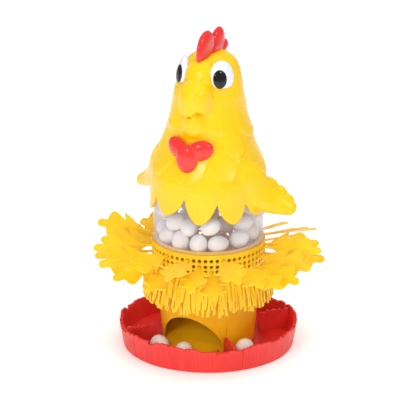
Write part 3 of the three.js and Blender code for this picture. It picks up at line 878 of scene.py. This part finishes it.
def cover_radius(headings, heights):
    """The feathered outside: the profile, three rows of relief and the hem's seams."""
    base = read_table(PROFILE, heights)
    relief = row_relief(headings, heights, MIDDLE, 1.9, 18)
    relief += row_relief(headings, heights, RUFF, 2.4, 13)
    relief += row_relief(headings, heights, NAPE, 1.2, 10)
    edge, across = lower_edge(headings, HEM)
    relief += 1.1 * (1 - across**2) * np.exp(-np.clip(heights - edge, 0, None) / 30)
    seam = np.zeros(headings.shape)
    for middle, _, _, right, notch in HEM:
        side = away_from(headings, middle + right)
        fading = np.exp(-np.clip(heights - notch + 4, 0, None) / 14)
        seam -= 1.1 * np.exp(-(side / 0.9) ** 2) * fading
        seam += 0.8 * np.exp(-((side - 3.5) / 3.0) ** 2) * fading
    return base + relief + seam


def head_shift(heights):
    return HEAD_BACK * smooth_step((heights - 300) / 50)


def cover_skin():
    """The moulded body as one solid: feathered outside, flat below, to be hollowed later."""
    headings = np.arange(0, 360, 0.5)
    edge, _ = lower_edge(headings, HEM)
    rows = []
    crown_levels = CROWN_TOP - (CROWN_TOP - CROWN_START) * (1 - np.linspace(0, 1, 26)) ** 2
    for share in np.linspace(0, 1, 150)[:-1]:
        heights = edge + (CROWN_START - edge) * share
        radii = cover_radius(headings, heights)
        if share == 0:
            radii = radii - TIGHTER
        shift = head_shift(heights)
        rows.append([polar(r, h, z) + (0, s, 0) for r, h, z, s in zip(radii, headings, heights, shift)])
    for z in crown_levels:
        heights = np.full(headings.shape, z)
        radii = np.maximum(cover_radius(headings, heights) - (TIGHTER if z > CROWN_FLAT else 0), POINT_R)
        if z == crown_levels[-1]:
            radii = np.full(headings.shape, POINT_R)
        rows.append([polar(r, h, z) + (0, head_shift(z), 0) for r, h in zip(radii, headings)])
    faces = grid_faces(len(rows), len(headings))
    count = len(headings)
    vertices = [*np.concatenate(rows), (0, 0, UNDERSIDE_Z)]
    middle = len(rows) * count
    faces += [(i, middle, (i + 1) % count) for i in range(count)]
    faces.append(cap((len(rows) - 1) * count, count))
    return solid("skin", vertices, faces)


def cavity():
    """The space inside the cover."""
    profile = [(0, 150), (65.7, 150), (65.7, 200)]
    profile += [(r - COVER_WALL - 1.0, z) for z, r in PROFILE if 206 < z < 345]
    profile += [(17, 345), (0, 348)]
    tool = turned("cavity", profile, 96)
    points = points_of(tool)
    points[:, 1] += head_shift(points[:, 2])
    set_points(tool, points)
    return tool


WING_SET = {1: (0, 1.0), -1: (4.0, 0.76)}  # the right wing sits a little higher and is slimmer


def wing(sign):
    """A swept wing that grows out of the shoulder and ends in a round tip."""
    out = np.array([0.60, -0.62, 0.5])
    stations = [
        ((50, -24, 232), 7, 14), ((56, -18, 220), 9.5, 21), ((67, -5, 199), 9.5, 21),
        ((79.5, 7, 187.5), 8.5, 17.5), ((89.5, 12.5, 181), 7.2, 13.2), ((95.5, 15, 178), 6, 10),
    ]
    raised, slimmer = WING_SET[sign]
    path = []
    for (x, y, z), deep, high in stations:
        path.append(((sign * x, y, z + raised), out * (sign, 1, 1), (deep, high * slimmer)))
    return sweep(f"wing_{sign}", path, segments=40, steps=10, ends=10)


def wing_feathers(sign):
    """Three short feather ends along the back of the wing."""
    basis = axes(sign * 35, sign * 38, "Y")
    pieces = []
    for x, y, z, size in ((74, 13, 205, 8), (84.5, 18.5, 195.5, 7), (93, 21, 187, 6)):
        halves = (size * 1.3, size * 0.75, size * 0.75)
        pieces.append(ellipsoid("end", halves, (sign * x, y, z), 24, 12, basis))
    return pieces


# The mouth's height, and how far it is open, at distances to each side.
MOUTH = [(0, 289.5), (4, 290.8), (8, 296.0), (11, 299.6), (15, 298.8), (20, 293.6), (26, 291.5)]
MOUTH_GAP = [(0, 0.2), (6, 0.3), (9, 3.0), (14, 5.2), (18, 2.4), (21, 0.3)]
FACE_X = 2.4  # how far the beak and wattle sit towards the hen's left
BEAK_Y, BEAK_Z, BEAK_HALF = -35, 312, 21
CHIN_Z, CHIN_HALF = 275, 17


def mouth_height(x):
    return read_table(MOUTH, np.abs(x))


def beak():
    """A round, heavy upper beak that hooks over a smaller lower one, parted a little at each side."""
    upper = ellipsoid("upper", (20.5, 23, BEAK_HALF), (FACE_X, BEAK_Y, BEAK_Z), 96, 60)
    points = points_of(upper)
    below = np.clip((BEAK_Z - points[:, 2]) / BEAK_HALF, 0, 1)
    fuller = (1 - below**6) ** (1 / 6) / np.sqrt(np.maximum(1 - below**2, 1e-4))
    fuller = np.minimum(fuller, 2.2)
    middle = (FACE_X, BEAK_Y)
    points[:, :2] = middle + (points[:, :2] - middle) * fuller[:, None]
    points[:, 2] = np.maximum(points[:, 2], mouth_height(points[:, 0]))
    set_points(upper, points)
    brow = ellipsoid("brow", (22, 21, 25), (FACE_X / 2, -16.5, 328), 64, 32)
    lower = ellipsoid("lower", (17.4, 17.5, CHIN_HALF), (FACE_X, -34.5, CHIN_Z), 96, 60)
    points = points_of(lower)
    share = np.clip((points[:, 2] - CHIN_Z) / CHIN_HALF, 0, 1)
    points[:, 2] = np.where(share > 0, CHIN_Z + 24 * share**0.6, points[:, 2])
    lid = mouth_height(points[:, 0]) - read_table(MOUTH_GAP, np.abs(points[:, 0]))
    points[:, 2] = np.minimum(points[:, 2], lid)
    set_points(lower, points)
    return [upper, brow, lower]


EYES = {"left": 1, "right": -1}
EYE_HEADING, EYE_R, EYE_Z = 53, 31.0, 333.5
EYE_SIZE = (15.0, 6.6, 18.5)
PUPIL_HEADING, PUPIL_R, PUPIL_Z = 46.5, 35.8, 332.5
PUPIL_SIZE = (8.3, 3.0, 10.8)
EYE_TILT = -10


def eye_centre(sign):
    return polar(EYE_R, sign * EYE_HEADING, EYE_Z) + (0, 3, 0)


def make_eyes():
    for side, sign in EYES.items():
        eye = ellipsoid(f"eye_{side}", EYE_SIZE, eye_centre(sign), 64, 32, axes(sign * EYE_HEADING, EYE_TILT))
        place(eye, "hen", "eye_white", EYE, f"eye_{side}")
        centre = polar(PUPIL_R, sign * PUPIL_HEADING, PUPIL_Z) + (0, 2, 0)
        pupil = ellipsoid(f"pupil_{side}", PUPIL_SIZE, centre, 48, 24, axes(sign * PUPIL_HEADING, EYE_TILT))
        place(pupil, "hen", "pupil_black", PUPIL, f"pupil_{side}")


def relax(obj, rounds, weight):
    """Smooths a mesh by moving each point towards its neighbours, as far as weight allows."""
    points = points_of(obj)
    edges = np.zeros(len(obj.data.edges) * 2, np.int32)
    obj.data.edges.foreach_get("vertices", edges)
    a, b = edges.reshape(-1, 2).T
    count = np.bincount(np.concatenate([a, b]), minlength=len(points))[:, None]
    share = weight(points)[:, None] * 0.6

    def neighbours(column):
        return np.bincount(a, column[b], len(points)) + np.bincount(b, column[a], len(points))

    for _ in range(rounds):
        total = np.stack([neighbours(points[:, k]) for k in range(3)], 1)
        points += share * (total / count - points)
    set_points(obj, points)


def head_only(points):
    """Full smoothing over the face, little in the mouth and none on the feather rows below."""
    x, y, z = points.T
    face = smooth_step((z - 262) / 8)
    mouth = np.exp(-((z - mouth_height(x) + 1) / 3.5) ** 2) * smooth_step((-38 - y) / 3)
    return face * (1 - 0.93 * mouth)


def wing_roots(points):
    """Smoothing where the wings leave the body."""
    x, y, z = points.T
    radius = np.hypot(x, y)
    roots = np.exp(-((radius - 70) / 6) ** 2) * smooth_step((np.abs(x) - 48) / 8)
    roots = roots * smooth_step((232 - z) / 10) * smooth_step((z - 176) / 6)
    return roots * smooth_step((y + 26) / 8) * smooth_step((36 - y) / 8)


def press_eye_rims(hen):
    """Presses a narrow rim into the skin round each eye."""
    points = points_of(hen)
    for sign in EYES.values():
        basis = axes(sign * EYE_HEADING, EYE_TILT)
        local = (points - eye_centre(sign)) @ basis
        ring = np.sqrt((local[:, 0] / EYE_SIZE[0]) ** 2 + (local[:, 2] / EYE_SIZE[2]) ** 2)
        press = 0.8 * np.exp(-((ring - 1.0) / 0.07) ** 2) * (local[:, 1] < 8)
        points += np.outer(press, basis[:, 1])
    set_points(hen, points)


def make_hen():
    """The hollow cover with its beak and wings in one skin, and the eyes."""
    pieces = [cover_skin(), *beak(), wing(1), wing(-1), *wing_feathers(1), *wing_feathers(-1)]
    hen = join("hen_cover", pieces)
    remesh(hen, 0.95, 2)
    relax(hen, 30, head_only)
    relax(hen, 20, wing_roots)
    press_eye_rims(hen)
    carve(hen, cavity())
    shade(hen, 50)
    place(hen, "hen", "hen_yellow", HEN, "hen_cover")
    make_eyes()


# The comb seen from the side, as distance behind the axis and height.
COMB_OUTLINE = [
    (-23, 346), (-28, 353), (-26.5, 366), (-20, 377), (-10, 382.5), (0, 381.5), (7.5, 376), (10.5, 368.5),
    (15.5, 376.5), (24, 379.5), (31, 378), (36.5, 371), (37, 362), (44.5, 360), (47, 353), (42, 346),
    (10, 338),
]
COMB_CREASES = [((10.5, 370), (-8, 346)), ((36, 363), (22, 346))]


def rounded(outline, rounds):
    """Cuts an outline's corners until it is a smooth loop."""
    points = np.array(outline, float)
    for _ in range(rounds):
        after = np.roll(points, -1, axis=0)
        points = np.stack([points * 0.8 + after * 0.2, points * 0.2 + after * 0.8], 1).reshape(-1, 2)
    return points


def distance_to(points, start, end):
    """Distances from points to a line segment."""
    start, end = np.array(start, float), np.array(end, float)
    along = end - start
    share = np.clip(((points - start) @ along) / (along @ along), 0, 1)
    return np.linalg.norm(points - start - share[:, None] * along, axis=1)


def make_comb():
    """Three lobes in one rounded plate with a crease between them, sunk into the crown."""
    half = 5.6
    loop = rounded(COMB_OUTLINE, 3)
    ahead, behind = np.roll(loop, -1, axis=0), np.roll(loop, 1, axis=0)
    tangent = (ahead - behind) / np.linalg.norm(ahead - behind, axis=1)[:, None]
    inward = np.stack([tangent[:, 1], -tangent[:, 0]], 1)
    rings = []
    for share in np.linspace(-1, 1, 13):
        inset = loop + inward * 4.2 * (1 - math.sqrt(max(0.0, 1 - share**2)))
        rings.append([(half * share, y, z) for y, z in inset])
    comb = loft("comb", rings)
    remesh(comb, 0.7, 8)
    points = points_of(comb)
    depth = np.min([distance_to(points[:, 1:], a, b) for a, b in zip(loop, ahead)], axis=0)
    points[:, 0] *= 0.3 + 0.75 * np.sqrt(np.clip(depth / 10.5, 0, 1))
    for start, end in COMB_CREASES:
        near = np.exp(-(distance_to(points[:, 1:], start, end) / 2.4) ** 2)
        points[:, 0] *= 1 - 0.3 * near
    set_points(comb, points)
    shade(comb, 60)
    place(comb, "hen", "comb_red", COMB, "comb")


def make_wattle():
    """Three soft lobes under the chin with a crease between them."""
    lobes = []
    for sign in (-1, 1):
        basis = axes(sign * 24, sign * -20, "Y")
        lobes.append(ellipsoid("side", (15.5, 7.5, 12), (FACE_X + sign * 14.5, -53.5, 254.5), 48, 24, basis))
    lobes.append(ellipsoid("middle", (13, 8, 17.5), (FACE_X, -60, 245), 48, 24))
    wattle = join("wattle", lobes)
    remesh(wattle, 0.7, 4)
    shade(wattle, 60)
    place(wattle, "hen", "comb_red", COMB, "wattle")


# ---------- camera, light and floor ----------
def look(obj, spot, aim):
    """Puts a camera or lamp somewhere and points it at aim."""
    obj.location = spot
    obj.rotation_euler = (Vector(aim) - Vector(spot)).to_track_quat("-Z", "Y").to_euler()


def make_camera():
    camera = bpy.data.cameras.new("camera")
    camera.lens = 266
    camera.sensor_width = 36
    camera.clip_end = 50
    obj = add_object("camera", camera)
    look(obj, (1.469, -2.883, 1.334), (-0.0088, -0.0045, 0.1757))
    bpy.context.scene.camera = obj


def lamp(name, spot, aim, size, power, mirrored=True):
    """A round soft box; one that isn't mirrored lights the scene and leaves no highlight."""
    light = bpy.data.lights.new(name, "AREA")
    light.shape = "DISK"
    light.size = size
    light.energy = power
    obj = add_object(name, light)
    look(obj, spot, aim)
    obj.visible_glossy = mirrored


def make_studio():
    """Soft boxes, a white world and white paper."""
    middle = (0, 0, 0.2)
    lamp("key", (0.05, -2.1, 1.5), middle, 0.6, 8.5)
    lamp("side", (2.2, -0.5, 1.9), middle, 0.6, 9)
    lamp("fill", (1.6, -2.2, 0.7), middle, 1.4, 11, mirrored=False)
    lamp("low", (-0.5, -2.2, 0.4), (0, -0.05, 0.05), 1.0, 12, mirrored=False)
    lamp("top", (0.0, 0.3, 2.3), middle, 2.4, 38, mirrored=False)
    world = bpy.data.worlds.new("studio")
    world.use_nodes = True
    background = world.node_tree.nodes["Background"]
    background.inputs["Color"].default_value = (1, 1, 1, 1)
    background.inputs["Strength"].default_value = 0.38
    bpy.context.scene.world = world
    bpy.context.scene.view_settings.view_transform = "Standard"
    half, level = 6.0, -0.0002
    corners = [(x * half, y * half, level) for x, y in ((-1, -1), (1, -1), (1, 1), (-1, 1))]
    mesh = bpy.data.meshes.new("floor")
    mesh.from_pydata(corners, [], [(0, 1, 2, 3)])
    floor = add_object("floor", mesh)
    paper = bpy.data.materials.new("paper")
    paper.use_nodes = True
    shader = paper.node_tree.nodes["Principled BSDF"]
    shader.inputs["Base Color"].default_value = (0.96, 0.96, 0.96, 1)
    shader.inputs["Roughness"].default_value = 0.7
    shader.inputs["Emission Color"].default_value = (1, 1, 1, 1)
    shader.inputs["Emission Strength"].default_value = 0.25
    mesh.materials.append(paper)


make_camera()
make_studio()
make_tray()
make_pivot()
make_chute()
make_ramp()
make_collar()
make_skirt()
make_drum()
make_eggs()
make_feathers()
make_hen()
make_comb()
make_wattle()
